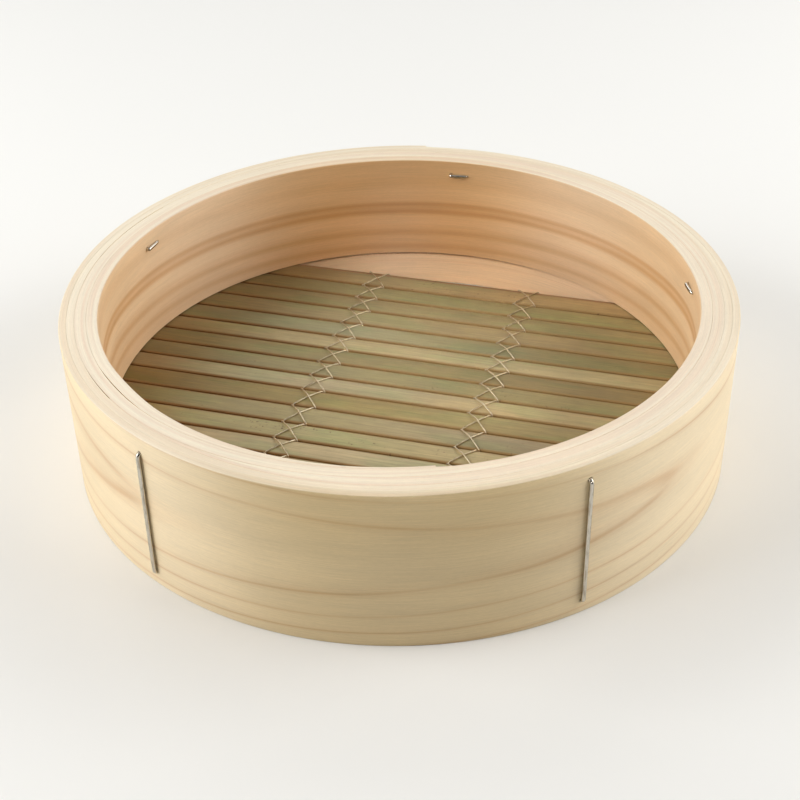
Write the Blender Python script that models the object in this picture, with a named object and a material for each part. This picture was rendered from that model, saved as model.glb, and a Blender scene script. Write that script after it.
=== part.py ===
"""Steamer basket: a round wall of coiled cypress veneer round a mat of bamboo slats.

The wall is three strips, each wound on itself: an outer hoop of full height, a lining hoop above the mat and
a support hoop below it. Wire staples sew the hoops together. The slats lie along X, lashed with thin wire to
two crossbars under them, and their ends are held between the lining hoop and the support hoop.
The origin is the centre of the lower rim, on the surface that the basket stands on. Lengths are in metres.
"""

import math
from collections import namedtuple

import bmesh
import bpy
from mathutils import Vector

MM = 0.001
TURN = 2 * math.pi

# Overall
OUTER_DIAMETER = 240 * MM
HEIGHT = 59.5 * MM
MAT_LEVEL = 15.8 * MM  # height of the lining hoop's lower edge, which holds the mat down

# Veneer strips: ply is a strip's thickness, tip what is left of it at its scarfed last end
OUTER_PLY = 2.6 * MM
OUTER_TIP = 1.2 * MM
LINING_PLY = 3.9 * MM
LINING_TIP = 0.8 * MM
SUPPORT_PLY = 2.4 * MM
SUPPORT_TIP = 0.5 * MM
FIRST_TIP = 0.4 * MM  # what is left at a strip's first end, inside the coil
PLY_GAP = 0.15 * MM  # between one turn and the next
HOOP_GAP = 0.3 * MM  # between one hoop and another
EASED_EDGE = 0.4 * MM
SCARF = math.radians(60)  # length of the thinned end
OUTER_END = math.radians(100)  # azimuths of the three visible strip ends
LINING_END = math.radians(291.5)
SUPPORT_END = math.radians(30)
SEGMENTS_PER_TURN = 72

# Mat
SLAT_THICKNESS = 1.5 * MM
SLAT_CROWN = 0.3 * MM  # how far the middle of a slat stands above its shoulders
SLAT_SHOULDER = 0.6 * MM
SLAT_SHARES = (11.2, 9.9, 10.1, 10.8, 10.4, 9.6, 9.8, 9.8, 9.7, 11.0, 10.9, 10.1, 9.7, 10.3, 10.2, 10.6)
OPEN_SEGMENT = 24.3 * MM  # wall to first slat, at the front and back
MAT_OFFSET = 1.8 * MM  # how far the mat sits towards the back
MAT_PLAY = 0.25 * MM  # above and below the slats' ends, and over the crossbars
SLAT_END_PLAY = 0.5 * MM

# Crossbars and lashing
CROSSBAR_SPACING = 64.4 * MM
CROSSBAR_WIDTH = 7.5 * MM
CROSSBAR_THICKNESS = 3.0 * MM
CROSSBAR_OVERHANG = 1.0 * MM  # past the last slat at each end
LASHING_WIRE = 0.5 * MM
LASHING_PLAY = 0.15 * MM
LASHING_GAP_PLAY = 0.2 * MM  # each side of a wire, in the gap between two slats
LASHING_ARCH = 0.35 * MM  # how far a wire stands above the slat where it crosses over it
TWIST_SETBACK = 1.5 * MM  # from the outermost turn to the start of the twisted ends
TWIST_LENGTH = 6.0 * MM
TWIST_PITCH = 3.0 * MM

# Staples
STAPLE_AZIMUTHS = (21.4, 93.7, 171.3, 243.3, 314.2)
STAPLE_WIRE = 1.5 * MM
STAPLE_PLAY = 0.3 * MM
STAPLE_BEND = 1.3 * MM
STAPLE_TOP_INSET = 6.2 * MM  # upper legs below the rim
STAPLE_BOTTOM_INSET = 5.0 * MM  # lower legs above the foot
CLINCH_LENGTH = 8.0 * MM
LOWER_LEG_SHARE = 0.6  # how far through the support hoop the lower legs reach

# Worked out from the sizes above
OUTER_RADIUS = OUTER_DIAMETER / 2
SEAM_RADIUS = OUTER_RADIUS - 2 * OUTER_PLY - PLY_GAP  # inner face of the outer hoop
INNER_SEAM_RADIUS = SEAM_RADIUS - HOOP_GAP  # outer face of the lining and support hoops
LINING_BORE = INNER_SEAM_RADIUS - 2 * LINING_PLY - PLY_GAP
LOWER_LEG_END = INNER_SEAM_RADIUS - LOWER_LEG_SHARE * (2 * SUPPORT_PLY + PLY_GAP)
SLAT_GAP = LASHING_WIRE + 2 * LASHING_GAP_PLAY
SLAT_TOP = MAT_LEVEL - MAT_PLAY
SLAT_BOTTOM = SLAT_TOP - SLAT_THICKNESS
SUPPORT_TOP = SLAT_BOTTOM - MAT_PLAY
CROSSBAR_TOP = SLAT_BOTTOM - MAT_PLAY
CROSSBAR_BOTTOM = CROSSBAR_TOP - CROSSBAR_THICKNESS
SLAT_END_RADIUS = INNER_SEAM_RADIUS - SLAT_END_PLAY
MAT_DEPTH = 2 * (LINING_BORE - OPEN_SEGMENT)

Coil = namedtuple("Coil", "base side ply tip sense end climb bottom top")
OUTER_COIL = Coil(SEAM_RADIUS, 1, OUTER_PLY, OUTER_TIP, -1, OUTER_END, math.radians(45), 0.0, HEIGHT)
LINING_COIL = Coil(
    INNER_SEAM_RADIUS, -1, LINING_PLY, LINING_TIP, 1, LINING_END, math.radians(14), MAT_LEVEL, HEIGHT
)
SUPPORT_COIL = Coil(
    INNER_SEAM_RADIUS, -1, SUPPORT_PLY, SUPPORT_TIP, 1, SUPPORT_END, math.radians(14), 0.0, SUPPORT_TOP
)
COIL_ANGLE = 2 * TURN + SCARF  # two turns, and the last end lapped over the first

WOODS = {
    "cypress_outer": (0.80, 0.62, 0.41),
    "cypress_lining": (0.72, 0.50, 0.31),
    "cypress_support": (0.70, 0.48, 0.30),
    "bamboo_slat": (0.45, 0.38, 0.20),
    "bamboo_crossbar": (0.42, 0.24, 0.12),
}
STEEL = (0.62, 0.60, 0.56)


def material(name, colour, roughness, metallic=0.0):
    """A Principled material, made once for each name."""
    made = bpy.data.materials.get(name) or bpy.data.materials.new(name)
    made.use_nodes = True
    shader = made.node_tree.nodes["Principled BSDF"]
    shader.inputs["Base Color"].default_value = (*colour, 1.0)
    shader.inputs["Roughness"].default_value = roughness
    shader.inputs["Metallic"].default_value = metallic
    return made


def wood(name):
    return material(name, WOODS[name], 0.6)


def steel():
    return material("stainless_wire", STEEL, 0.3, 1.0)


def add_mesh(name, points, faces, finish):
    """An object from points and faces, with its faces turned outwards."""
    mesh = bpy.data.meshes.new(name)
    mesh.from_pydata([tuple(p) for p in points], [], faces)
    shape = bmesh.new()
    shape.from_mesh(mesh)
    bmesh.ops.recalc_face_normals(shape, faces=shape.faces)
    shape.to_mesh(mesh)
    shape.free()
    mesh.shade_smooth()
    mesh.set_sharp_from_angle(angle=math.radians(30))
    mesh.materials.append(finish)
    made = bpy.data.objects.new(name, mesh)
    bpy.context.scene.collection.objects.link(made)
    return made


def add_wire(name, points, diameter, sides_level):
    """A round wire through the points, with closed ends."""
    curve = bpy.data.curves.new(name, "CURVE")
    curve.dimensions = "3D"
    curve.bevel_depth = diameter / 2
    curve.bevel_resolution = sides_level
    curve.use_fill_caps = True
    spline = curve.splines.new("POLY")
    spline.points.add(len(points) - 1)
    for spot, place in zip(spline.points, points):
        spot.co = (*place, 1.0)
    curve.materials.append(steel())
    made = bpy.data.objects.new(name, curve)
    bpy.context.scene.collection.objects.link(made)
    return made


def smooth(share):
    """0 to 1 with level ends, for a share of the way along."""
    share = min(1.0, max(0.0, share))
    return share * share * (3 - 2 * share)


def polar(radius, azimuth, height):
    return Vector((radius * math.cos(azimuth), radius * math.sin(azimuth), height))


# The coiled hoops


def strip_thickness(coil, along):
    """Thickness of a strip at an angle along it, thinned over the scarf at both ends."""
    from_end = min(along, COIL_ANGLE - along)
    tip = FIRST_TIP if along < SCARF else coil.tip
    return tip + (coil.ply - tip) * smooth(from_end / SCARF)


def near_face(coil, along):
    """Depth of the strip's first face from the base circle. Past one turn it lies on the turn before."""
    if along >= TURN:
        return far_face(coil, along - TURN) + PLY_GAP
    return (FIRST_TIP + PLY_GAP) * smooth((along - TURN + coil.climb) / coil.climb)


def far_face(coil, along):
    return near_face(coil, along) + strip_thickness(coil, along)


def exposed_radius(coil, azimuth):
    """Radius of the face that shows at an azimuth: the far face of the last turn there."""
    before_end = (coil.sense * (coil.end - azimuth)) % TURN
    return coil.base + coil.side * far_face(coil, COIL_ANGLE - before_end)


def coil_hoop(name, coil, finish):
    """One strip of veneer wound on itself, with the edges of its far face eased."""
    count = round(COIL_ANGLE / TURN * SEGMENTS_PER_TURN)
    points = []
    for step in range(count + 1):
        along = COIL_ANGLE * step / count
        azimuth = coil.end - coil.sense * (COIL_ANGLE - along)
        near, far = near_face(coil, along), far_face(coil, along)
        eased = far - min(EASED_EDGE, (far - near) / 3)
        section = (
            (near, coil.bottom),
            (eased, coil.bottom),
            (far, coil.bottom + EASED_EDGE),
            (far, coil.top - EASED_EDGE),
            (eased, coil.top),
            (near, coil.top),
        )
        points += [polar(coil.base + coil.side * depth, azimuth, height) for depth, height in section]
    corners = 6
    faces = [list(range(corners)), list(range(count * corners, (count + 1) * corners))]
    for step in range(count):
        for corner in range(corners):
            after = (corner + 1) % corners
            start, end = step * corners, (step + 1) * corners
            faces.append([start + corner, end + corner, end + after, start + after])
    return add_mesh(name, points, faces, finish)


def drill(hoop, azimuth, height, inner):
    """A hole for one staple leg, through the wall from outside to the inner radius."""
    outer = OUTER_RADIUS + OUTER_PLY
    bpy.ops.mesh.primitive_cylinder_add(
        vertices=8,
        radius=STAPLE_WIRE / 2 + STAPLE_PLAY,
        depth=outer - inner,
        location=polar((inner + outer) / 2, azimuth, height),
        rotation=(0, math.pi / 2, azimuth),
    )
    cutter = bpy.context.object
    cutter.name = f"leg_hole_{hoop.name}_{round(math.degrees(azimuth))}"
    cutter.hide_render = True
    cutter.display_type = "WIRE"
    hole = hoop.modifiers.new("leg_hole", "BOOLEAN")
    hole.operation = "DIFFERENCE"
    hole.solver = "EXACT"
    hole.object = cutter


# The mat


def slat_edges():
    """The far and near edge of each slat's pitch, from the back of the mat to the front."""
    back = MAT_DEPTH / 2 + MAT_OFFSET
    edges = [back]
    for share in SLAT_SHARES:
        edges.append(edges[-1] - MAT_DEPTH * share / sum(SLAT_SHARES))
    return edges


def slat(name, front, back):
    """A crowned bamboo slat whose ends follow the wall."""
    middle, half = (front + back) / 2, (back - front) / 2
    shoulder = SLAT_TOP - SLAT_CROWN
    # Across the slat: the side, the shoulder, the crown and back, each with its height on top and underneath.
    profile = (
        (-half, shoulder - SLAT_SHOULDER, SLAT_BOTTOM + SLAT_SHOULDER / 2),
        (-half + SLAT_SHOULDER, shoulder, SLAT_BOTTOM),
        (0.0, SLAT_TOP, SLAT_BOTTOM),
        (half - SLAT_SHOULDER, shoulder, SLAT_BOTTOM),
        (half, shoulder - SLAT_SHOULDER, SLAT_BOTTOM + SLAT_SHOULDER / 2),
    )
    points = []
    for side in (-1, 1):
        for across, upper, lower in profile:
            y = middle + across
            x = side * math.sqrt(SLAT_END_RADIUS**2 - y**2)
            points += [(x, y, upper), (x, y, lower)]
    rows = len(profile)
    faces = []
    for row in range(rows - 1):
        near, far = 2 * row, 2 * (row + 1)
        other = 2 * rows
        faces += [
            [near, far, far + other, near + other],
            [near + 1, far + 1, far + 1 + other, near + 1 + other],
            [near, near + 1, far + 1, far],
            [near + other, near + 1 + other, far + 1 + other, far + other],
        ]
    for row in (0, 2 * (rows - 1)):
        faces.append([row, row + 1, row + 1 + 2 * rows, row + 2 * rows])
    return add_mesh(name, points, faces, wood("bamboo_slat"))


def crossbar(name, centre_x, front, back):
    """A flat bamboo bar under the slats, with its long edges taken off."""
    half = CROSSBAR_WIDTH / 2
    easing = CROSSBAR_THICKNESS / 5
    section = (
        (-half, CROSSBAR_BOTTOM + easing),
        (-half + easing, CROSSBAR_BOTTOM),
        (half - easing, CROSSBAR_BOTTOM),
        (half, CROSSBAR_BOTTOM + easing),
        (half, CROSSBAR_TOP),
        (-half, CROSSBAR_TOP),
    )
    points = [(centre_x + x, y, z) for y in (front, back) for x, z in section]
    count = len(section)
    faces = [list(range(count)), list(range(count, 2 * count))]
    faces += [[i, (i + 1) % count, (i + 1) % count + count, i + count] for i in range(count)]
    return add_mesh(name, points, faces, wood("bamboo_crossbar"))


def rounded(corners, radius, steps):
    """The path through the corners with each inner one turned into a short curve of steps + 1 points."""
    path = [corners[0]]
    for before, corner, after in zip(corners, corners[1:], corners[2:]):
        cut = min(radius, (before - corner).length / 2, (after - corner).length / 2)
        start = corner + (before - corner).normalized() * cut
        end = corner + (after - corner).normalized() * cut
        for step in range(steps + 1):
            share = step / steps
            path.append(start * (1 - share) ** 2 + corner * 2 * share * (1 - share) + end * share**2)
    path.append(corners[-1])
    return path


def lashing(name, centre_x, gaps, lead):
    """One lashing wire, wound along a crossbar: over each slat and back under the bar through each gap.

    lead is 1 or -1, the side to which it crosses each slat. The two wires on a bar lean opposite ways. The
    second lies outside the first, where they share a gap, and above it, where they cross. Both ends of the
    pair are twisted together under the bar.
    """
    layer = (LASHING_WIRE + LASHING_PLAY) * (0 if lead > 0 else 1)
    leg = CROSSBAR_WIDTH / 2 + LASHING_PLAY + LASHING_WIRE / 2 + layer
    over = SLAT_TOP + LASHING_PLAY + LASHING_WIRE / 2
    under = CROSSBAR_BOTTOM - LASHING_PLAY - LASHING_WIRE / 2 - layer
    near, far = centre_x - lead * leg, centre_x + lead * leg
    first = twist(centre_x, gaps[0], -lead, 1)
    last = twist(centre_x, gaps[-1], lead, -1)
    path = first[::-1]
    for gap, following in zip(gaps, gaps[1:]):
        start, rise = Vector((near, gap, under)), Vector((near, gap, over))
        crossing = Vector((centre_x, (gap + following) / 2, over + LASHING_ARCH + layer))
        fall, end = Vector((far, following, over)), Vector((far, following, under))
        path += rounded([start, rise, crossing], LASHING_WIRE, 1)
        path += rounded([crossing, fall, end], LASHING_WIRE, 1)[1:]
    return add_wire(name, path + last, LASHING_WIRE, 0)


def twist(centre_x, gap, side, inwards):
    """The end of one wire of a pair, twisted round the other below the bar, from its outer end inwards.

    side is where the wire comes from, and inwards is the way along Y in which the pair then runs.
    """
    radius = (LASHING_WIRE + LASHING_PLAY) / 2
    axis_height = CROSSBAR_BOTTOM - 2 * (LASHING_PLAY + LASHING_WIRE)
    steps = round(TWIST_LENGTH / TWIST_PITCH * 6)
    path = []
    for step in range(steps + 1):
        share = step / steps
        angle = share * TWIST_LENGTH / TWIST_PITCH * TURN
        x = centre_x + side * radius * math.cos(angle)
        y = gap + inwards * (TWIST_SETBACK + TWIST_LENGTH * share)
        path.append(Vector((x, y, axis_height - side * radius * math.sin(angle))))
    return path


# The staples


def staple(name, azimuth):
    """A wire staple: clinched inside the rim, down the outside of the wall, and driven into the support hoop."""
    stand_off = STAPLE_WIRE / 2 + STAPLE_PLAY
    outside = exposed_radius(OUTER_COIL, azimuth) + stand_off
    upper, lower = HEIGHT - STAPLE_TOP_INSET, STAPLE_BOTTOM_INSET
    steps = 3
    sweep = CLINCH_LENGTH / LINING_BORE
    turns = [azimuth - sweep * (1 - step / steps) for step in range(steps + 1)]
    inside = min(exposed_radius(LINING_COIL, turn) for turn in turns) - stand_off
    corners = [polar(inside, turn, upper) for turn in turns]
    corners += [polar(outside, azimuth, upper), polar(outside, azimuth, lower)]
    corners.append(polar(LOWER_LEG_END, azimuth, lower))
    return add_wire(name, rounded(corners, STAPLE_BEND, 3), STAPLE_WIRE, 1)


def clear_scene():
    for old in list(bpy.data.objects):
        bpy.data.objects.remove(old)


def main():
    clear_scene()
    bpy.context.scene.unit_settings.scale_length = 1.0
    hoops = {
        "outer_hoop": (OUTER_COIL, "cypress_outer"),
        "lining_hoop": (LINING_COIL, "cypress_lining"),
        "support_hoop": (SUPPORT_COIL, "cypress_support"),
    }
    made = {name: coil_hoop(name, coil, wood(finish)) for name, (coil, finish) in hoops.items()}
    for number, degrees in enumerate(STAPLE_AZIMUTHS, 1):
        azimuth = math.radians(degrees)
        for name in ("outer_hoop", "lining_hoop"):
            drill(made[name], azimuth, HEIGHT - STAPLE_TOP_INSET, LINING_BORE - LINING_PLY)
        for name in ("outer_hoop", "support_hoop"):
            drill(made[name], azimuth, STAPLE_BOTTOM_INSET, LOWER_LEG_END - STAPLE_PLAY)
        staple(f"staple_{number}", azimuth)

    edges = slat_edges()
    for number, (back, front) in enumerate(zip(edges, edges[1:]), 1):
        slat(f"slat_{number:02d}", front + SLAT_GAP / 2, back - SLAT_GAP / 2)
    for side, name in ((-1, "left"), (1, "right")):
        centre_x = side * CROSSBAR_SPACING / 2
        crossbar(f"crossbar_{name}", centre_x, edges[-1] - CROSSBAR_OVERHANG, edges[0] + CROSSBAR_OVERHANG)
        for lead, letter in ((1, "a"), (-1, "b")):
            lashing(f"lashing_{name}_{letter}", centre_x, edges[::-1], lead)


main()
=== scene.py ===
# The looks of a steamer basket: coiled cypress veneer round a mat of bamboo slats lashed with wire.
# The pieces are built in millimetres, in the frame of the CAD model, and put into metres at the end.

import math
from collections import namedtuple

import bmesh
import bpy
import numpy as np
from mathutils import Matrix, Vector, noise


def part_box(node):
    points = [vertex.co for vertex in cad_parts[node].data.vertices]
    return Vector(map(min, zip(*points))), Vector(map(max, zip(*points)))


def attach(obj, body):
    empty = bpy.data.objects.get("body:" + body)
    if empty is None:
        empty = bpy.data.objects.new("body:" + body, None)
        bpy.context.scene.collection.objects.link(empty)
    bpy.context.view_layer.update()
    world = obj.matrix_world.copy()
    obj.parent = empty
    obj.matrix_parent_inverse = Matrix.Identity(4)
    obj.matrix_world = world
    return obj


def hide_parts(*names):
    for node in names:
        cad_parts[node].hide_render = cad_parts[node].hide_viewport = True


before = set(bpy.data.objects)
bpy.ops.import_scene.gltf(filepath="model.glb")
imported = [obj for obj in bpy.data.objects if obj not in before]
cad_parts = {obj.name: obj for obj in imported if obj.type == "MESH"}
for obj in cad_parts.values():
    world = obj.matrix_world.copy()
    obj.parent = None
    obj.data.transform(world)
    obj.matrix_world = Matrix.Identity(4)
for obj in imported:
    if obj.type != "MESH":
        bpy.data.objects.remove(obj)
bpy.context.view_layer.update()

MM = 0.001
TURN = 2 * math.pi


def extent(node, axis):
    """The lowest and highest coordinate of a CAD node along one axis, in millimetres."""
    low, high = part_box(node)
    return low[axis] / MM, high[axis] / MM


# Levels and radii that the frame gives
RIM = extent("outer_hoop", 2)[1]
MAT_LEVEL = extent("lining_hoop", 2)[0]
SUPPORT_TOP = extent("support_hoop", 2)[1]
CROSSBAR_BOTTOM, CROSSBAR_TOP = extent("crossbar_left", 2)
SLAT_TOP = extent("slat_01", 2)[1]
OUTER_RADIUS = extent("outer_hoop", 0)[1]
INNER_SEAM_RADIUS = extent("lining_hoop", 0)[1]
SLATS = [f"slat_{number:02d}" for number in range(1, 17)]
STAPLES = [f"staple_{number}" for number in range(1, 6)]

# Veneer: the thickness of each strip, and of its thinned end that shows
OUTER_PLY, OUTER_TIP = 2.65, 1.3
LINING_PLY, LINING_TIP = 4.05, 0.85
SUPPORT_PLY, SUPPORT_TIP = 2.57, 0.5
FIRST_TIP = 0.2  # thickness of the hidden end, where each winding starts
PLY_GAP = 0.05
EASED_EDGE = 0.55  # radius on the edges of a strip's exposed face at the rim
FOOT_EDGE = 0.06  # and at its lower edge
HIDDEN_EDGE = 0.04  # radius on the edges that another turn covers
RIM_WAVE = 0.05  # how uneven the cut edge at the rim is
SCARF = math.radians(60)  # length of the thinned ends
OUTER_END, LINING_END, SUPPORT_END = math.radians(100), math.radians(291.5), math.radians(30)
OUTER_CLIMB, INNER_CLIMB = math.radians(45), math.radians(14)
CRACK = (math.radians(709.5), math.radians(727.1))  # where along the lining its last turn has sprung open
CRACK_WIDTH = 0.26

# Slats and crossbars
SLAT_CROWN = 0.3
SLAT_SHOULDER = 0.75  # width of the rounding on each side of the crown
SHOULDER_DROP = 0.6  # and its height
SLAT_FOOT = 0.2  # radius of the lower edges
SLAT_WIDENING = 1.018  # narrows the gaps between the slats of the CAD model
SLAT_WAVE = 0.05  # how far a slat strays sideways and up along its length
CROSSBAR_EDGE = 0.9  # radius of the lower edges

# Wires
STAPLE_WIRE = 1.5
STAPLE_AZIMUTHS = (21.4, 93.7, 171.3, 243.3, 314.2)
STAPLE_TOP = RIM - 6.2
STAPLE_FOOT = 5.0
STAPLE_BEND = 1.5
LOWER_LEG_END = 111.5  # radius at which the lower leg ends, inside the support hoop
CLINCH_LENGTH = 8.0  # of the end that is bent over inside the rim
HOLE_PLAY = 0.12
LASHING_WIRE = 0.5
LASHING_PLAY = 0.1
LASHING_BEND = 1.1
LASHING_ARCH = 0.15  # how far a wire stands above the slat in the middle of it
LASHING_DIP = 0.35  # how far it has sunk at the slat's edges
TWIST_SETBACK, TWIST_LENGTH, TWIST_PITCH = 1.5, 6.0, 3.0

# Camera
VIEW_AZIMUTH = 16.1
VIEW_ELEVATION = 35.43
VIEW_DISTANCE = 556.6
VIEW_LENS = 65.74
SENSOR = 36.0
PAN, TILT, ROLL = 0.0006, 0.0163, 0.0199


# Nodes


def srgb(red, green, blue):
    """A colour given as it shows on a screen, 0 to 255, as the linear colour that a shader takes."""
    values = [channel / 255 for channel in (red, green, blue)]
    linear = [value / 12.92 if value < 0.04045 else ((value + 0.055) / 1.055) ** 2.4 for value in values]
    return (*linear, 1.0)


class Shader:
    """One material, and short ways to add nodes to it.

    A value is a number, a tuple or another node's output.
    """

    def __init__(self, name):
        self.material = bpy.data.materials.new(name)
        self.material.use_nodes = True
        self.tree = self.material.node_tree
        self.surface = self.tree.nodes["Principled BSDF"]

    def feed(self, socket, value):
        if isinstance(value, bpy.types.NodeSocket):
            self.tree.links.new(value, socket)
        else:
            socket.default_value = value

    def add(self, kind, inputs, output=0, **settings):
        node = self.tree.nodes.new(kind)
        for key, value in settings.items():
            setattr(node, key, value)
        for key, value in inputs.items():
            self.feed(node.inputs[key], value)
        return node.outputs[output]

    def attribute(self, name):
        """The three parts of a vector that is stored on the mesh."""
        vector = self.add("ShaderNodeAttribute", {}, "Vector", attribute_name=name)
        return self.split(vector)

    def split(self, vector):
        node = self.tree.nodes.new("ShaderNodeSeparateXYZ")
        self.feed(node.inputs[0], vector)
        return node.outputs[0], node.outputs[1], node.outputs[2]

    def vector(self, x, y, z):
        return self.add("ShaderNodeCombineXYZ", {0: x, 1: y, 2: z})

    def math(self, operation, first, second=0.0, clamp=False):
        return self.add("ShaderNodeMath", {0: first, 1: second}, operation=operation, use_clamp=clamp)

    def plus(self, first, second):
        return self.math("ADD", first, second)

    def times(self, first, second):
        return self.math("MULTIPLY", first, second)

    def span(self, value, low, high, to_low=0.0, to_high=1.0):
        """to_low up to low and to_high from high on, with a smooth change between them."""
        inputs = {0: value, 1: low, 2: high, 3: to_low, 4: to_high}
        return self.add("ShaderNodeMapRange", inputs, interpolation_type="SMOOTHSTEP")

    def noise(self, x, y, z, detail=2.0, roughness=0.5):
        """Smooth noise from 0 to 1, with features about one unit long."""
        inputs = {"Vector": self.vector(x, y, z), "Scale": 1.0, "Detail": detail, "Roughness": roughness}
        return self.add("ShaderNodeTexNoise", inputs, "Fac")

    def ramp(self, value, stops):
        """A level from 0 to 1 for a value, through (value, level) stops between the first and the last."""
        node = self.tree.nodes.new("ShaderNodeValToRGB")
        first, last = stops[0][0], stops[-1][0]
        share = self.add("ShaderNodeMapRange", {0: value, 1: first, 2: last, 3: 0.0, 4: 1.0})
        self.feed(node.inputs[0], share)
        line = node.color_ramp
        line.interpolation = "EASE"
        while len(line.elements) < len(stops):
            line.elements.new(0.5)
        for element, (place, level) in zip(line.elements, stops):
            element.position = (place - first) / (last - first)
            element.color = (level, level, level, 1.0)
        return node.outputs[0]

    def mix(self, amount, first, second, blend="MIX"):
        node = self.tree.nodes.new("ShaderNodeMix")
        node.data_type = "RGBA"
        node.blend_type = blend
        self.feed(node.inputs[0], amount)
        self.feed(node.inputs[6], first)
        self.feed(node.inputs[7], second)
        return node.outputs[2]

    def shade(self, colour, level):
        """The colour made lighter or darker by a level, which is 1 where nothing changes."""
        return self.mix(1.0, colour, self.vector(level, level, level), "MULTIPLY")

    def tint(self, colour, tint):
        """The colour multiplied by a tint of red, green and blue."""
        return self.mix(1.0, colour, (*tint, 1.0), "MULTIPLY")

    def bump(self, height, distance, strength):
        return self.add("ShaderNodeBump", {"Height": height, "Distance": distance, "Strength": strength})

    def finish(self, **inputs):
        """The material, with values for sockets of its Principled BSDF, such as base_color."""
        for name, value in inputs.items():
            self.feed(self.surface.inputs[name.replace("_", " ").title().replace("Ior", "IOR")], value)
        return self.material


# Materials


# How a strip was cut from its log: the distance to the pith and its change along the strip, the pith's
# height, lean and sweep, the spacing of the rings, the place of one of them, and where along the strip all
# of this is measured
Log = namedtuple("Log", "pith run_out height lean sweep spacing first middle")
OUTER_LOG = Log(65.0, 0.0143, 35.9, 0.0154, 3.2e-5, 2.65, 62.2, 489.4)
LINING_LOG = Log(48.0, 0.009, -20.0, 0.004, 1.8e-4, 3.4, 50.0, 346.0)
SUPPORT_LOG = Log(70.0, 0.006, -30.0, 0.01, 2.0e-5, 3.0, 60.0, 300.0)

# The colours of a strip's faces and cut edges, and how strongly the rings show on its faces
Wood = namedtuple("Wood", "pale ring edge_pale edge_ring ring_strength")
OUTER_WOOD = Wood(srgb(234, 212, 172), srgb(203, 158, 106), srgb(239, 226, 200), srgb(228, 204, 171), 0.66)
LINING_WOOD = Wood(srgb(236, 203, 160), srgb(202, 149, 90), srgb(239, 226, 200), srgb(228, 200, 171), 0.85)
# The support hoop's wood is made paler than the lining's, with fainter rings: painted light on the strip of
# it that shows below the lining, where little light reaches.
SUPPORT_WOOD = Wood(srgb(246, 205, 157), srgb(234, 181, 130), srgb(244, 220, 190), srgb(236, 200, 164), 0.35)

# Painted shade: where along a strip its wood is made darker and warmer because little light falls there, at
# the front of the outer wall and at the back of the bore; how far that reaches, the tint there, and how much
# of the tint shows low and high on the wall
PaintedShade = namedtuple("PaintedShade", "middle reach tint low high")
OUTER_PAINTED_SHADE = PaintedShade(388.0, 90.0, (0.80, 0.75, 0.61), 0.7, 1.0)
LINING_PAINTED_SHADE = PaintedShade(345.0, 92.0, (0.92, 0.78, 0.60), 1.0, 0.8)

# Height in millimetres and darkness of the level bands on the lining's face
LINING_BANDS = (
    (14, 0.35), (17, 0.4), (19.2, 0.75), (21.5, 0.35), (23.5, 0.3), (26, 0.75), (28.5, 0.35), (31, 0.1),
    (33.5, 0.15), (36, 0.95), (37.6, 0.6), (39.2, 0.9), (41, 0.2), (45, 0.1), (49.5, 0.3), (54, 0.1),
    (60, 0.15),
)
# Darkness across one growth ring: the dark late wood in the middle has a longer slope on the older side
RING_PROFILE = ((0.0, 0.0), (0.25, 0.05), (0.42, 0.3), (0.5, 1.0), (0.56, 0.35), (0.68, 0.03), (1.0, 0.0))
MOST_BOW = 4.5  # how far up a ring's line bows at most, towards the ends of the strip


def growth_rings(shader, log, bands, along, up, depth):
    """How much dark late wood shows, from the rings of the strip's log or from a list of level bands."""
    plus, times, noise_node, span = shader.plus, shader.times, shader.noise, shader.span
    place = plus(along, -log.middle)
    bow = shader.math("MINIMUM", times(times(place, place), log.sweep), MOST_BOW)
    fading = noise_node(times(along, 0.011), times(up, 0.12), times(depth, 0.4), 3.0)
    if bands:
        return shader.ramp(plus(plus(up, times(bow, -1.0)), times(plus(fading, -0.5), 2.0)), bands)
    sway = noise_node(times(along, 0.008), times(up, 0.03), times(depth, 0.03))
    height = plus(plus(up, -log.height), times(plus(times(place, log.lean), bow), -1.0))
    reach = plus(plus(times(place, log.run_out), log.pith), times(depth, -1.0))
    distance = shader.math("SQRT", plus(times(reach, reach), times(height, height)))
    distance = plus(distance, times(plus(sway, -0.5), 1.2))
    ring_count = plus(times(plus(distance, -log.first), 1 / log.spacing), 40.5)
    late = shader.ramp(shader.math("FRACT", ring_count), RING_PROFILE)
    return times(late, span(fading, 0.3, 0.7, 0.4, 1.1))


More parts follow.
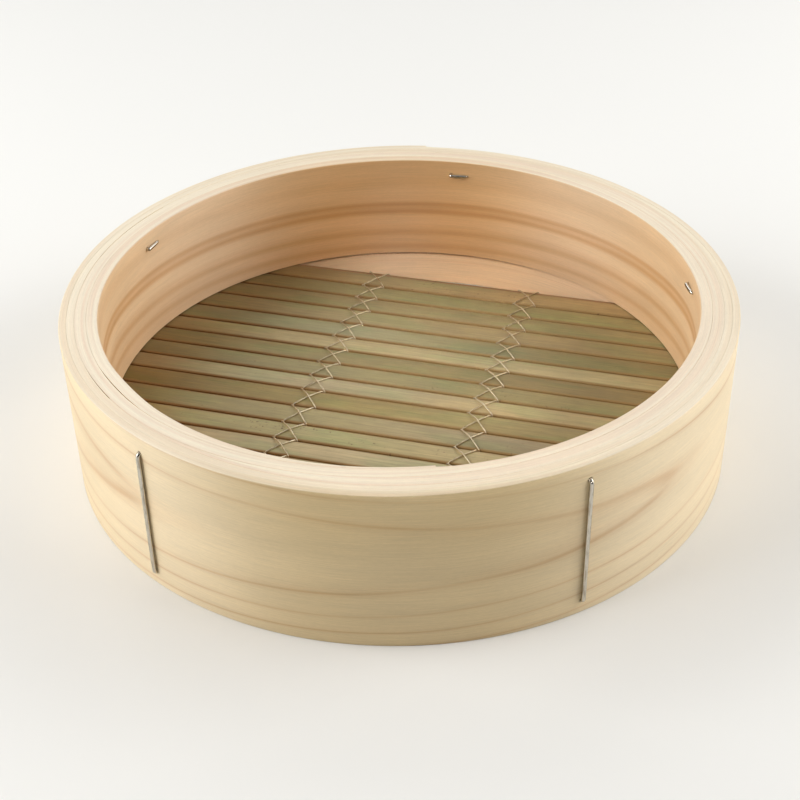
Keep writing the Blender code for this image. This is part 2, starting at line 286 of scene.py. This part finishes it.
def softwood(name, log, wood, painted_shade=None, bands=None):
    """Planed softwood veneer. Its growth rings are those of one log, so they run on from face to edge.

    The attribute strip holds a point's place in the strip: along it, up it, and into its thickness.
    """
    shader = Shader(name)
    times, noise_node, span = shader.times, shader.noise, shader.span
    along, up, depth = shader.attribute("strip")
    late = growth_rings(shader, log, bands, along, up, depth)
    fibre = noise_node(times(along, 0.05), times(up, 2.4), times(depth, 3.0), 4.0, 0.6)
    cloud = noise_node(times(along, 0.02), times(up, 0.09), times(depth, 0.1))
    pores = noise_node(times(along, 0.5), times(up, 5.0), times(depth, 5.0), 3.0, 0.7)
    face = shader.mix(times(late, wood.ring_strength), wood.pale, wood.ring)
    face = shader.shade(face, span(cloud, 0.2, 0.8, 0.94, 1.05))
    ply = noise_node(times(along, 0.006), times(up, 0.05), times(depth, 0.45))
    edge = shader.mix(span(ply, 0.3, 0.7, 0.0, 0.7), wood.edge_pale, wood.edge_ring)
    normal = shader.add("ShaderNodeNewGeometry", {}, "Normal")
    level_face = span(shader.math("ABSOLUTE", shader.split(normal)[2]), 0.55, 0.95)
    colour = shader.shade(shader.mix(level_face, face, edge), span(fibre, 0.2, 0.8, 0.92, 1.06))
    colour = shader.shade(colour, span(pores, 0.25, 0.75, 0.95, 1.04))
    # Painted shade: darker, warmer wood where little light falls on the wall, half as much on the rim's cut
    # edge.
    if painted_shade:
        off = shader.math("ABSOLUTE", shader.plus(along, -painted_shade.middle))
        painted_shade_share = span(off, 0.2 * painted_shade.reach, painted_shade.reach, 1.0, 0.0)
        painted_shade_share = times(painted_shade_share, span(level_face, 0.0, 1.0, 1.0, 0.5))
        painted_shade_share = times(painted_shade_share, span(up, 28.0, 54.0, painted_shade.low, painted_shade.high))
        colour = shader.mix(painted_shade_share, colour, shader.tint(colour, painted_shade.tint))
    # Planed fibres spread a highlight across the grain, so it stretches up the wall.
    return shader.finish(
        base_color=colour,
        roughness=span(fibre, 0.2, 0.8, 0.42, 0.56),
        anisotropic=0.85,
        specular_ior_level=0.9,
        tangent=shader.vector(0.0, 0.0, 1.0),
        normal=shader.bump(shader.plus(fibre, times(late, 0.6)), 0.04 * MM, 0.7),
    )


EDGE_BROWN = srgb(140, 104, 56)  # the flesh at a slat's edges, deepened by painted shade of the gaps between slats, towards its left end
EDGE_GOLD = srgb(156, 126, 76)  # and towards its right end
SPECK_BROWN = srgb(92, 58, 34)


def bamboo(name, left, right, reach, change=0.0, seed=0.0, specks=0.0, back_edge=None):
    """A split bamboo slat: fine fibres along it, brown flesh at its edges, and a tone that changes along it.

    The attribute slat holds a point's place: along the slat, across it from -1 to 1, and up it. reach is how
    far the slat's ends are from its middle, and change is where its left tone turns into its right one.
    """
    shader = Shader(name)
    times, plus, noise_node, span = shader.times, shader.plus, shader.noise, shader.span
    along, across, up = shader.attribute("slat")
    patch = noise_node(times(along, 0.022), times(across, 0.35), seed, 3.0)
    turn = plus(along, times(plus(patch, -0.5), 90.0))
    skin = shader.mix(span(turn, change - 45.0, change + 45.0), left, right)
    fibre = noise_node(times(along, 0.04), times(across, 7.0), plus(up, seed), 4.0, 0.65)
    fine = noise_node(times(along, 0.12), times(across, 24.0), plus(up, seed), 3.0, 0.6)
    bloom = noise_node(times(along, 0.13), times(across, 1.2), seed + 1.0, 4.0, 0.6)
    green = noise_node(times(along, 0.03), times(across, 0.6), seed + 11.0, 3.0)
    skin = shader.mix(span(green, 0.46, 0.62, 0.0, 0.8), skin, shader.tint(skin, (0.87, 1.01, 0.93)))
    skin = shader.shade(skin, span(patch, 0.25, 0.75, 0.88, 1.10))
    skin = shader.shade(skin, span(fibre, 0.25, 0.75, 0.84, 1.12))
    skin = shader.shade(skin, span(fine, 0.25, 0.75, 0.88, 1.10))
    skin = shader.shade(skin, span(bloom, 0.3, 0.7, 0.95, 1.04))
    # Darker and browner towards the left end: painted shadow of the left wall, partly the ends' own browner
    # tone.
    wall_shadow_and_browning = span(plus(along, reach), 8.0, 56.0, 1.0, 0.0)
    skin = shader.mix(wall_shadow_and_browning, skin, shader.tint(skin, (0.66, 0.53, 0.38)))
    # The slat's edges turn to brown flesh, darkened partly as painted shade of the gaps between the slats.
    edge_flesh_and_gap_shade = plus(shader.math("ABSOLUTE", across), times(plus(fibre, -0.5), 0.14))
    flesh = shader.mix(span(along, -75.0, 45.0), EDGE_BROWN, EDGE_GOLD)
    colour = shader.mix(span(edge_flesh_and_gap_shade, 0.74, 0.98), skin, flesh)
    if back_edge:
        rim = plus(across, times(plus(bloom, -0.5), 0.5))
        colour = shader.mix(times(span(rim, 0.45, 0.8), 0.85), colour, back_edge)
    spots = noise_node(times(along, 0.9), times(across, 4.0), seed + 7.0, 3.0)
    area = noise_node(times(along, 0.05), times(across, 0.8), seed + 3.0, 1.0)
    mark = times(span(spots, 0.62, 0.72), span(area, 0.48, 0.6))
    colour = shader.mix(times(mark, specks), colour, SPECK_BROWN)
    return shader.finish(
        base_color=colour,
        roughness=span(fibre, 0.2, 0.8, 0.4, 0.58),
        normal=shader.bump(plus(fibre, fine), 0.05 * MM, 0.8),
    )


def wire(name, tone, dull, roughness, metallic=1.0):
    """Drawn wire with faint lines along it and a dull bloom in places."""
    shader = Shader(name)
    along, across, up = shader.attribute("wire")
    lines = shader.noise(shader.times(along, 0.3), shader.times(across, 6.0), up, 2.0)
    bloom = shader.noise(shader.times(along, 0.25), across, up, 3.0)
    colour = shader.mix(shader.span(bloom, 0.45, 0.7, 0.0, 0.6), tone, dull)
    return shader.finish(
        base_color=colour,
        metallic=metallic,
        roughness=shader.span(bloom, 0.3, 0.7, roughness, roughness + 0.15),
        normal=shader.bump(lines, 0.01 * MM, 0.5),
    )


def plain_floor():
    shader = Shader("floor")
    return shader.finish(base_color=srgb(238, 237, 233), roughness=0.85, specular_ior_level=0.2)


# Meshes

SHARP = 35.0  # faces that meet at more degrees than this keep a sharp edge


def build(name, rings, finish, node, attribute=None, sharp=SHARP):
    """A closed piece from a row of closed rings of points in millimetres, which stands for one CAD node."""
    rings = np.asarray(rings, float)
    count, corners = rings.shape[:2]
    start = np.arange(count - 1)[:, None] * corners
    corner = np.arange(corners)[None, :]
    after = (corner + 1) % corners
    sides = np.stack([start + corner, start + corners + corner, start + corners + after, start + after], -1)
    faces = sides.reshape(-1, 4).tolist()
    faces.append(list(range(corners)))
    faces.append(list(range((count - 1) * corners, count * corners)))
    mesh = bpy.data.meshes.new(name)
    mesh.from_pydata(rings.reshape(-1, 3) * MM, [], faces)
    shape = bmesh.new()
    shape.from_mesh(mesh)
    bmesh.ops.recalc_face_normals(shape, faces=shape.faces)
    shape.to_mesh(mesh)
    shape.free()
    piece = bpy.data.objects.new(name, mesh)
    bpy.context.scene.collection.objects.link(piece)
    if attribute:
        store(mesh, *attribute)
    dress(piece, finish, node, sharp)
    return piece


def dress(piece, finish, node, sharp):
    """Gives a piece its shading and material, puts it under the root body, and hides the CAD node that it
    stands for.
    """
    piece.data.shade_smooth()
    piece.data.set_sharp_from_angle(angle=math.radians(sharp))
    piece.data.materials.clear()
    piece.data.materials.append(finish)
    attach(piece, "root")
    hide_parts(node)


def store(mesh, name, values):
    """Keeps a vector on each point of the mesh, for its material to read."""
    layer = mesh.attributes.get(name) or mesh.attributes.new(name, "FLOAT_VECTOR", "POINT")
    layer.data.foreach_set("vector", np.asarray(values, np.float32).reshape(-1))


def points_of(mesh):
    points = np.empty(len(mesh.vertices) * 3, np.float32)
    mesh.vertices.foreach_get("co", points)
    return points.reshape(-1, 3).astype(float) / MM


def smooth(share):
    share = np.clip(share, 0.0, 1.0)
    return share * share * (3 - 2 * share)


# The coiled hoops

# A strip wound on itself: the radius it starts from and the side it grows to, 1 outwards and -1 inwards, its
# thickness and that of its end, the sense of its winding and the azimuth of its visible end, the angle over
# which it climbs onto its first end, how far its last turn has sprung open, and its lower and upper edge
Coil = namedtuple("Coil", "base side ply tip sense end climb crack bottom top")
SEAM_RADIUS = OUTER_RADIUS - 2 * OUTER_PLY - PLY_GAP
OUTER_COIL = Coil(SEAM_RADIUS, 1, OUTER_PLY, OUTER_TIP, -1, OUTER_END, OUTER_CLIMB, 0.0, 0.0, RIM)
LINING_COIL = Coil(
    SEAM_RADIUS - PLY_GAP, -1, LINING_PLY, LINING_TIP, 1, LINING_END, INNER_CLIMB, CRACK_WIDTH, MAT_LEVEL, RIM
)
SUPPORT_COIL = Coil(
    SEAM_RADIUS - PLY_GAP, -1, SUPPORT_PLY, SUPPORT_TIP, 1, SUPPORT_END, INNER_CLIMB, 0.0, 0.0, SUPPORT_TOP
)
COIL_ANGLE = 2 * TURN + SCARF


def strip_thickness(coil, along):
    """Thickness of a strip at an angle along its winding, which starts at its hidden end."""
    from_end = np.minimum(along, COIL_ANGLE - along)
    tip = np.where(along < SCARF, FIRST_TIP, coil.tip)
    return tip + (coil.ply - tip) * smooth(from_end / SCARF)


def near_face(coil, along):
    """Depth of the strip's first face from the base circle. Past one turn it lies on the turn before."""
    depth = (FIRST_TIP + PLY_GAP) * smooth((along - TURN + coil.climb) / coil.climb)
    before = along - TURN
    if np.any(before >= 0):
        inside_crack = np.clip((along - CRACK[0]) / (CRACK[1] - CRACK[0]), 0, 1)
        gap = PLY_GAP + coil.crack * np.sin(math.pi * inside_crack)
        depth = np.where(before >= 0, far_face(coil, np.maximum(before, 0)) + gap, depth)
    return depth


def far_face(coil, along):
    """Depth of the strip's other face from the base circle."""
    return near_face(coil, along) + strip_thickness(coil, along)


def exposed_radius(coil, azimuth):
    """Radius of the face that shows at an azimuth: the far face of the last turn there."""
    before_end = (coil.sense * (coil.end - azimuth)) % TURN
    return coil.base + coil.side * far_face(coil, np.asarray(COIL_ANGLE - before_end))


def on_strip(coil, points):
    """Each point's place in the wound strip: its distance from the visible end, its height and its depth."""
    radius = np.hypot(points[:, 0], points[:, 1])
    azimuth = np.arctan2(points[:, 1], points[:, 0])
    depth = coil.side * (radius - coil.base)
    before_end = (coil.sense * (coil.end - azimuth)) % TURN
    best = np.full(len(points), np.inf)
    place = np.zeros((len(points), 2))
    for turns in (-1, 0, 1, 2):
        along = COIL_ANGLE - before_end - turns * TURN
        inside = np.clip(along, 0, COIL_ANGLE)
        near, far = near_face(coil, inside), far_face(coil, inside)
        miss = np.maximum(np.maximum(near - depth, depth - far), 0) + 100 * np.abs(along - inside)
        closer = miss < best - 1e-6
        best = np.where(closer, miss, best)
        place[closer] = np.stack([COIL_ANGLE - inside, depth - near], -1)[closer]
    face_radius = coil.base + coil.side * 2 * coil.ply
    return np.stack([place[:, 0] * face_radius, points[:, 2], place[:, 1]], -1)


def stations(coil, step, fine_step, reach):
    """Angles along a strip for its rings, closer together within reach of a staple, all given in degrees."""
    angles = list(np.arange(0, COIL_ANGLE, math.radians(step))) + [COIL_ANGLE]
    for azimuth in STAPLE_AZIMUTHS:
        middle = COIL_ANGLE - (coil.sense * (coil.end - math.radians(azimuth))) % TURN
        for turn in (0, 1, 2):
            near_by = middle - turn * TURN + np.radians(np.arange(-reach, reach + fine_step, fine_step))
            angles += [angle for angle in near_by if 0 < angle < COIL_ANGLE]
    return np.unique(np.round(angles, 5))


def veneer_hoop(node, coil, finish, levels):
    """A strip wound on itself, with rounded edges on the face that shows and rows at the staples' levels."""
    along = stations(coil, 1.0, 0.25, 5.0)
    near, far = near_face(coil, along), far_face(coil, along)
    shows = smooth((along - (COIL_ANGLE - TURN)) / math.radians(2.0))
    eased = np.minimum(HIDDEN_EDGE + (EASED_EDGE - HIDDEN_EDGE) * shows, (far - near) * 0.4)
    foot = np.minimum(HIDDEN_EDGE + (FOOT_EDGE - HIDDEN_EDGE) * shows, (far - near) * 0.4)
    steps = np.linspace(0, math.pi / 2, 5)
    wave = np.array([noise.noise((angle * 3.0, coil.base, 0.5)) for angle in along])
    top, bottom = coil.top + RIM_WAVE * (wave - 1), np.full(len(along), coil.bottom)
    columns = [(near, bottom)]
    for angle in steps:
        columns.append((far - foot * (1 - math.sin(angle)), bottom + foot * (1 - math.cos(angle))))
    for level in levels:
        columns += [(far, np.full(len(along), level + row)) for row in np.arange(-1.6, 1.7, 0.4)]
    for angle in steps[::-1]:
        columns.append((far - eased * (1 - math.sin(angle)), top - eased * (1 - math.cos(angle))))
    columns.append((near, top))
    azimuth = coil.end - coil.sense * (COIL_ANGLE - along)
    rings = np.empty((len(along), len(columns), 3))
    for column, (depth, height) in enumerate(columns):
        radius = coil.base + coil.side * depth
        rings[:, column] = np.stack([radius * np.cos(azimuth), radius * np.sin(azimuth), height], -1)
    return build(f"veneer_{node}", rings, finish, node)


def drill(hoop, levels, inner):
    """Cuts the staples' holes into a hoop's wall from outside, as deep as the inner radius."""
    cutter = bmesh.new()
    radius = STAPLE_WIRE / 2 + HOLE_PLAY
    reach = OUTER_RADIUS + 10 - inner
    lying = Matrix.Rotation(math.pi / 2, 4, "Y")
    for degrees in STAPLE_AZIMUTHS:
        turn = Matrix.Rotation(math.radians(degrees), 4, "Z")
        for level in levels:
            middle = Matrix.Translation(((inner + reach / 2) * MM, 0, level * MM))
            bmesh.ops.create_cone(
                cutter, cap_ends=True, segments=20, radius1=radius * MM, radius2=radius * MM,
                depth=reach * MM, matrix=turn @ middle @ lying,
            )
    mesh = bpy.data.meshes.new("cutter")
    cutter.to_mesh(mesh)
    cutter.free()
    tool = bpy.data.objects.new("cutter", mesh)
    bpy.context.scene.collection.objects.link(tool)
    cut = hoop.modifiers.new("holes", "BOOLEAN")
    cut.operation = "DIFFERENCE"
    cut.solver = "EXACT"
    cut.object = tool
    bpy.context.view_layer.update()
    shape = bpy.data.meshes.new_from_object(hoop.evaluated_get(bpy.context.evaluated_depsgraph_get()))
    hoop.modifiers.clear()
    hoop.data = shape
    bpy.data.objects.remove(tool)


def make_hoops():
    outer = softwood("cypress_outer", OUTER_LOG, OUTER_WOOD, OUTER_PAINTED_SHADE)
    lining = softwood("cypress_lining", LINING_LOG, LINING_WOOD, LINING_PAINTED_SHADE, LINING_BANDS)
    support = softwood("cypress_support", SUPPORT_LOG, SUPPORT_WOOD)
    through = LINING_COIL.base - 3 * LINING_PLY
    for node, coil, finish, levels, inner in (
        ("outer_hoop", OUTER_COIL, outer, [STAPLE_FOOT, STAPLE_TOP], through),
        ("lining_hoop", LINING_COIL, lining, [STAPLE_TOP], through),
        ("support_hoop", SUPPORT_COIL, support, [STAPLE_FOOT], LOWER_LEG_END - 0.2),
    ):
        hoop = veneer_hoop(node, coil, finish, levels)
        drill(hoop, levels, inner)
        store(hoop.data, "strip", on_strip(coil, points_of(hoop.data)))
        hoop.data.set_sharp_from_angle(angle=math.radians(SHARP))


# The mat

SLAT_END_RADIUS = INNER_SEAM_RADIUS - 0.5
# The tone at the left and right end of each slat, from the back of the mat to the front, and how many specks
SLAT_TONES = (
    (srgb(170, 151, 108), srgb(175, 148, 101), 0.6), (srgb(151, 140, 97), srgb(160, 145, 96), 0.0),
    (srgb(154, 138, 97), srgb(161, 144, 98), 0.2), (srgb(159, 143, 103), srgb(164, 143, 99), 0.1),
    (srgb(156, 149, 112), srgb(148, 133, 88), 0.2), (srgb(176, 159, 116), srgb(180, 164, 119), 0.2),
    (srgb(151, 136, 91), srgb(145, 126, 81), 0.1), (srgb(149, 138, 97), srgb(157, 141, 92), 0.4),
    (srgb(175, 159, 121), srgb(186, 164, 116), 0.2), (srgb(149, 130, 78), srgb(164, 145, 93), 0.5),
    (srgb(160, 146, 101), srgb(162, 144, 107), 0.4), (srgb(176, 163, 113), srgb(184, 164, 118), 0.8),
    (srgb(181, 163, 121), srgb(186, 168, 130), 0.2), (srgb(176, 160, 118), srgb(184, 162, 120), 0.2),
    (srgb(170, 154, 112), srgb(172, 152, 112), 0.2), (srgb(166, 150, 108), srgb(164, 142, 104), 0.2),
)
# The reddish brown along the back edge of the first slat
BACK_EDGE_REDDISH = srgb(150, 108, 74)
CROSSBAR_TONES = srgb(150, 100, 62), srgb(134, 88, 54)
TONE_CHANGE = 10.0  # how far to the right of the middle the slats' tones meet


def arc(across, height, wide, high, first, last, count):
    """Points on an ellipse of a half width and half height round a centre, between two angles in degrees."""
    angles = np.radians(np.linspace(first, last, count))
    return [(across + wide * math.cos(angle), height + high * math.sin(angle)) for angle in angles]


def slat(number, node, finish):
    """A split slat: crowned on top, eased along its edges, and not quite straight."""
    (front, back), (bottom, top) = extent(node, 1), extent(node, 2)
    middle, half = (front + back) / 2, (back - front) / 2
    flat, edge_top = half - SLAT_SHOULDER, top - SLAT_CROWN
    right = arc(half - SLAT_FOOT, bottom + SLAT_FOOT, SLAT_FOOT, SLAT_FOOT, -90, 0, 5)
    right += arc(flat, edge_top - SHOULDER_DROP, SLAT_SHOULDER, SHOULDER_DROP, 0, 90, 6)[:-1]
    right += [(flat * share, edge_top + SLAT_CROWN * (1 - share**2)) for share in (1.0, 0.66, 0.33, 0.0)]
    left = [(-across, height) for across, height in reversed(right[:-1])]
    section = np.array(right + left)
    upper = section[:, 1] > bottom + 2 * SLAT_FOOT
    shares = np.linspace(-1, 1, 61)
    rings = np.empty((len(shares), len(section), 3))
    for index, share in enumerate(shares):
        wide = SLAT_WIDENING - 0.02 * noise.noise((share * 5, number * 3.1, 0.0)) ** 2
        drift = SLAT_WAVE * noise.noise((share * 3, number * 3.1, 5.0))
        lift = SLAT_WAVE * (noise.noise((share * 4, number * 3.1, 9.0)) - 1)
        y = middle + drift + section[:, 0] * wide
        x = share * np.sqrt(SLAT_END_RADIUS**2 - y**2)
        rings[index] = np.stack([x, y, section[:, 1] + lift * upper], -1)
    values = rings.copy()
    values[:, :, 1] = (rings[:, :, 1] - middle) / half
    return build(f"bamboo_{node}", rings, finish, node, ("slat", values))


def crossbar(node, finish):
    """A bar under the slats, flat on top and rounded below, which wanders a little along its length."""
    (left, right), (front, back) = extent(node, 0), extent(node, 1)
    centre, half = (left + right) / 2, (right - left) / 2
    round_centre, round_level = half - CROSSBAR_EDGE, CROSSBAR_BOTTOM + CROSSBAR_EDGE
    outline = arc(-round_centre, round_level, CROSSBAR_EDGE, CROSSBAR_EDGE, 180, 270, 5)
    outline += arc(round_centre, round_level, CROSSBAR_EDGE, CROSSBAR_EDGE, 270, 360, 5)
    outline += [(half - 0.15, CROSSBAR_TOP), (-half + 0.15, CROSSBAR_TOP)]
    across, height = np.array(outline).T
    rings = []
    values = []
    for y in np.linspace(front, back, 60):
        wander = 0.1 * noise.noise((y * 0.03, centre, 1.0))
        level = np.full(len(across), y)
        rings.append(np.stack([centre + wander + across * 0.98, level, height], -1))
        values.append(np.stack([level, across / half * 0.7, height], -1))
    return build(f"bamboo_{node}", rings, finish, node, ("slat", values))


def make_mat():
    for number, (node, (left, right, specks)) in enumerate(zip(SLATS, SLAT_TONES), 1):
        reddish_back_edge = BACK_EDGE_REDDISH if number == 1 else None
        front, back = extent(node, 1)
        reach = math.sqrt(SLAT_END_RADIUS**2 - ((front + back) / 2) ** 2)
        finish = bamboo(f"bamboo_{node}", left, right, reach, TONE_CHANGE, number * 2.7, specks, reddish_back_edge)
        slat(number, node, finish)
    for number, node in enumerate(("crossbar_left", "crossbar_right")):
        crossbar(node, bamboo(f"bamboo_{node}", *CROSSBAR_TONES, INNER_SEAM_RADIUS, 0.0, 60.0 + number))


# Wires


def tube(node, path, radii, sides, finish):
    """A round wire along a path, whose section keeps from twisting."""
    path = np.asarray(path, float)
    tangents = np.gradient(path, axis=0)
    tangents /= np.linalg.norm(tangents, axis=1)[:, None]
    askew = (0.3, 0.2, 0.93)  # a direction in which no wire starts
    side = np.cross(tangents[0], askew)
    rings = []
    values = []
    length = np.concatenate([[0], np.cumsum(np.linalg.norm(np.diff(path, axis=0), axis=1))])
    angles = np.linspace(0, TURN, sides, endpoint=False)
    for index, (point, tangent) in enumerate(zip(path, tangents)):
        side = side - tangent * np.dot(side, tangent)
        side /= np.linalg.norm(side)
        other = np.cross(tangent, side)
        radius = radii[index]
        rings.append([point + radius * (math.cos(a) * side + math.sin(a) * other) for a in angles])
        values.append([(length[index], math.cos(a), math.sin(a)) for a in angles])
    return build(f"wire_{node}", rings, finish, node, ("wire", values), sharp=60.0)


def rounded(corners, radius, steps):
    """The path through the corners with each inner one turned into a curve of steps + 1 points."""
    corners = [np.asarray(corner, float) for corner in corners]
    path = [corners[0]]
    for before, corner, after in zip(corners, corners[1:], corners[2:]):
        back, forth = before - corner, after - corner
        cut = min(radius, np.linalg.norm(back) / 2, np.linalg.norm(forth) / 2)
        start = corner + back / np.linalg.norm(back) * cut
        end = corner + forth / np.linalg.norm(forth) * cut
        for step in range(steps + 1):
            share = step / steps
            path.append(start * (1 - share) ** 2 + corner * 2 * share * (1 - share) + end * share**2)
    path.append(corners[-1])
    return path


def polar(radius, azimuth, height):
    return np.array((radius * math.cos(azimuth), radius * math.sin(azimuth), height))


def staple(node, degrees, finish):
    """Bent over inside the rim, through the wall, down the outside of it, and into the support hoop."""
    azimuth = math.radians(degrees)
    radius = STAPLE_WIRE / 2
    outside = float(exposed_radius(OUTER_COIL, azimuth)) + radius + 0.05
    corners = []
    for share in np.linspace(0, 1, 9):
        turn = azimuth - CLINCH_LENGTH / LINING_COIL.base * (1 - share)
        wall = float(exposed_radius(LINING_COIL, turn))
        lift = radius * (0.1 + math.sin(min(1.0, share * 1.2) * math.pi / 2))  # its point is sunk in the wood
        corners.append(polar(wall - lift, turn, STAPLE_TOP))
    corners += [polar(outside, azimuth, STAPLE_TOP), polar(outside, azimuth, STAPLE_FOOT)]
    corners.append(polar(LOWER_LEG_END, azimuth, STAPLE_FOOT))
    path = np.array(rounded(corners, STAPLE_BEND, 6))
    pointed = np.clip(0.45 + np.arange(len(path)) * 0.09, 0, 1)
    return tube(node, path, radius * pointed, 14, finish)


def twist(centre, gap, side, inwards):
    """The end of one wire of a pair, twisted round the other below the bar, from its outer end inwards."""
    radius = (LASHING_WIRE + 0.04) / 2
    level = CROSSBAR_BOTTOM - 2 * (LASHING_WIRE + LASHING_PLAY)
    shares = np.linspace(0, 1, 41)
    angles = shares * TWIST_LENGTH / TWIST_PITCH * TURN
    x = centre + side * radius * np.cos(angles)
    y = gap + inwards * (TWIST_SETBACK + TWIST_LENGTH * shares)
    return list(np.stack([x, y, level - side * radius * np.sin(angles)], -1))


def lashing(node, bar, gaps, lead, finish):
    """Over each slat to the far side of the bar, down through the gap, and back under the bar."""
    left, right = extent(bar, 0)
    centre = (left + right) / 2
    layer = 0 if lead > 0 else LASHING_WIRE + LASHING_PLAY  # the second wire of a pair lies over the first
    leg = (right - left) / 2 + LASHING_PLAY + LASHING_WIRE / 2 + layer
    over = SLAT_TOP + LASHING_WIRE / 2
    under = CROSSBAR_BOTTOM - LASHING_PLAY - LASHING_WIRE / 2 - layer
    rise = over - LASHING_DIP
    near, far = centre - lead * leg, centre + lead * leg
    path = twist(centre, gaps[0], -lead, 1)[::-1]
    for index, (gap, following) in enumerate(zip(gaps, gaps[1:])):
        shift = 0.3 * noise.noise((index * 1.7, lead * 5.0, centre * 0.1))
        crossing = (centre + shift, (gap + following) / 2, over + LASHING_ARCH + layer)
        up_leg = [(near, gap, under), (near, gap, rise)]
        down_leg = [(far, following, rise), (far, following, under)]
        path += rounded(up_leg + [crossing] + down_leg, LASHING_BEND, 5)
    path = np.array(path + twist(centre, gaps[-1], lead, -1))
    radii = np.full(len(path), LASHING_WIRE / 2)
    return tube(node, path, radii, 8, finish)


def make_wires():
    steel = wire("staple_steel", srgb(206, 200, 188), srgb(150, 138, 118), 0.12)
    thin = wire("lashing_steel", srgb(216, 204, 176), srgb(164, 144, 108), 0.22, 0.85)
    for node, degrees in zip(STAPLES, STAPLE_AZIMUTHS):
        staple(node, degrees, steel)
    # The wires pass through the gaps between the slats, and just outside the first and the last slat.
    edges = [extent(node, 1) for node in SLATS]
    play = (edges[0][0] - edges[1][1]) / 2
    gaps = [edges[-1][0] - play] + [front - play for front, back in edges[::-1][1:]] + [edges[0][1] + play]
    for side in ("left", "right"):
        for lead, letter in ((1, "a"), (-1, "b")):
            lashing(f"lashing_{side}_{letter}", f"crossbar_{side}", gaps, lead, thin)


# The stage


def floor():
    """A pale floor, a hair below the foot of the basket."""
    bpy.ops.mesh.primitive_plane_add(size=12, location=(0, 0, -0.0002))
    plane = bpy.context.object
    plane.name = "floor"
    plane.data.materials.append(plain_floor())


def direction(azimuth, elevation):
    """A unit vector from the object, with azimuth counted from the camera's side."""
    turn, rise = math.radians(azimuth + VIEW_AZIMUTH), math.radians(elevation)
    return Vector((math.sin(turn) * math.cos(rise), -math.cos(turn) * math.cos(rise), math.sin(rise)))


def softbox(name, azimuth, elevation, distance, size, power, spread=180, target=Vector((0, 0, 0))):
    """An area light aimed at a target: angles in degrees, distance and size in metres, power in watts."""
    data = bpy.data.lights.new(name, "AREA")
    data.shape = "RECTANGLE"
    data.size, data.size_y = size
    data.energy = power
    data.spread = math.radians(spread)
    light = bpy.data.objects.new(name, data)
    light.location = target + direction(azimuth, elevation) * distance
    light.rotation_euler = (target - light.location).to_track_quat("-Z", "Y").to_euler()
    bpy.context.scene.collection.objects.link(light)


def studio():
    world = bpy.data.worlds.new("studio")
    world.use_nodes = True
    background = world.node_tree.nodes["Background"]
    background.inputs["Color"].default_value = (1.0, 1.0, 1.0, 1.0)
    background.inputs["Strength"].default_value = 0.01
    bpy.context.scene.world = world
    softbox("left", -80, 28, 1.2, (1.0, 0.8), 13.8)
    softbox("right", 85, 28, 1.2, (1.0, 0.8), 9.9)
    softbox("right_low", 110, 25, 1.3, (1.0, 0.8), 5.2)
    softbox("back", 180, 35, 1.5, (1.6, 1.0), 5.8)
    softbox("back_left", -135, 40, 1.4, (1.0, 1.0), 3.3)
    softbox("front_top", 0, 72, 1.4, (1.2, 1.2), 2.6)
    # A narrow light for the back of the bore, where the rim keeps the others out
    behind_mat = direction(172, 0) * 0.1 + Vector((0, 0, -0.01))
    softbox("gridded", 0, 30, 0.7, (0.09, 0.09), 0.0095, 6, behind_mat)


def camera():
    """Looks at the middle of the foot, then turns a little in its own frame, as the photo's camera did."""
    data = bpy.data.cameras.new("camera")
    data.sensor_width = SENSOR
    data.lens = VIEW_LENS
    data.clip_start, data.clip_end = 0.01, 50
    view = bpy.data.objects.new("camera", data)
    bpy.context.scene.collection.objects.link(view)
    place = direction(0, VIEW_ELEVATION) * VIEW_DISTANCE * MM
    forward = -place.normalized()
    right = forward.cross(Vector((0, 0, 1))).normalized()
    up = right.cross(forward)
    level_view = Matrix((right, up, -forward)).transposed().to_4x4()
    turned = Matrix.Rotation(PAN, 4, "Y") @ Matrix.Rotation(TILT, 4, "X") @ Matrix.Rotation(-ROLL, 4, "Z")
    view.matrix_world = Matrix.Translation(place) @ level_view @ turned
    bpy.context.scene.camera = view


make_hoops()
make_mat()
make_wires()
floor()
studio()
camera()
bpy.context.scene.view_settings.view_transform = "Standard"
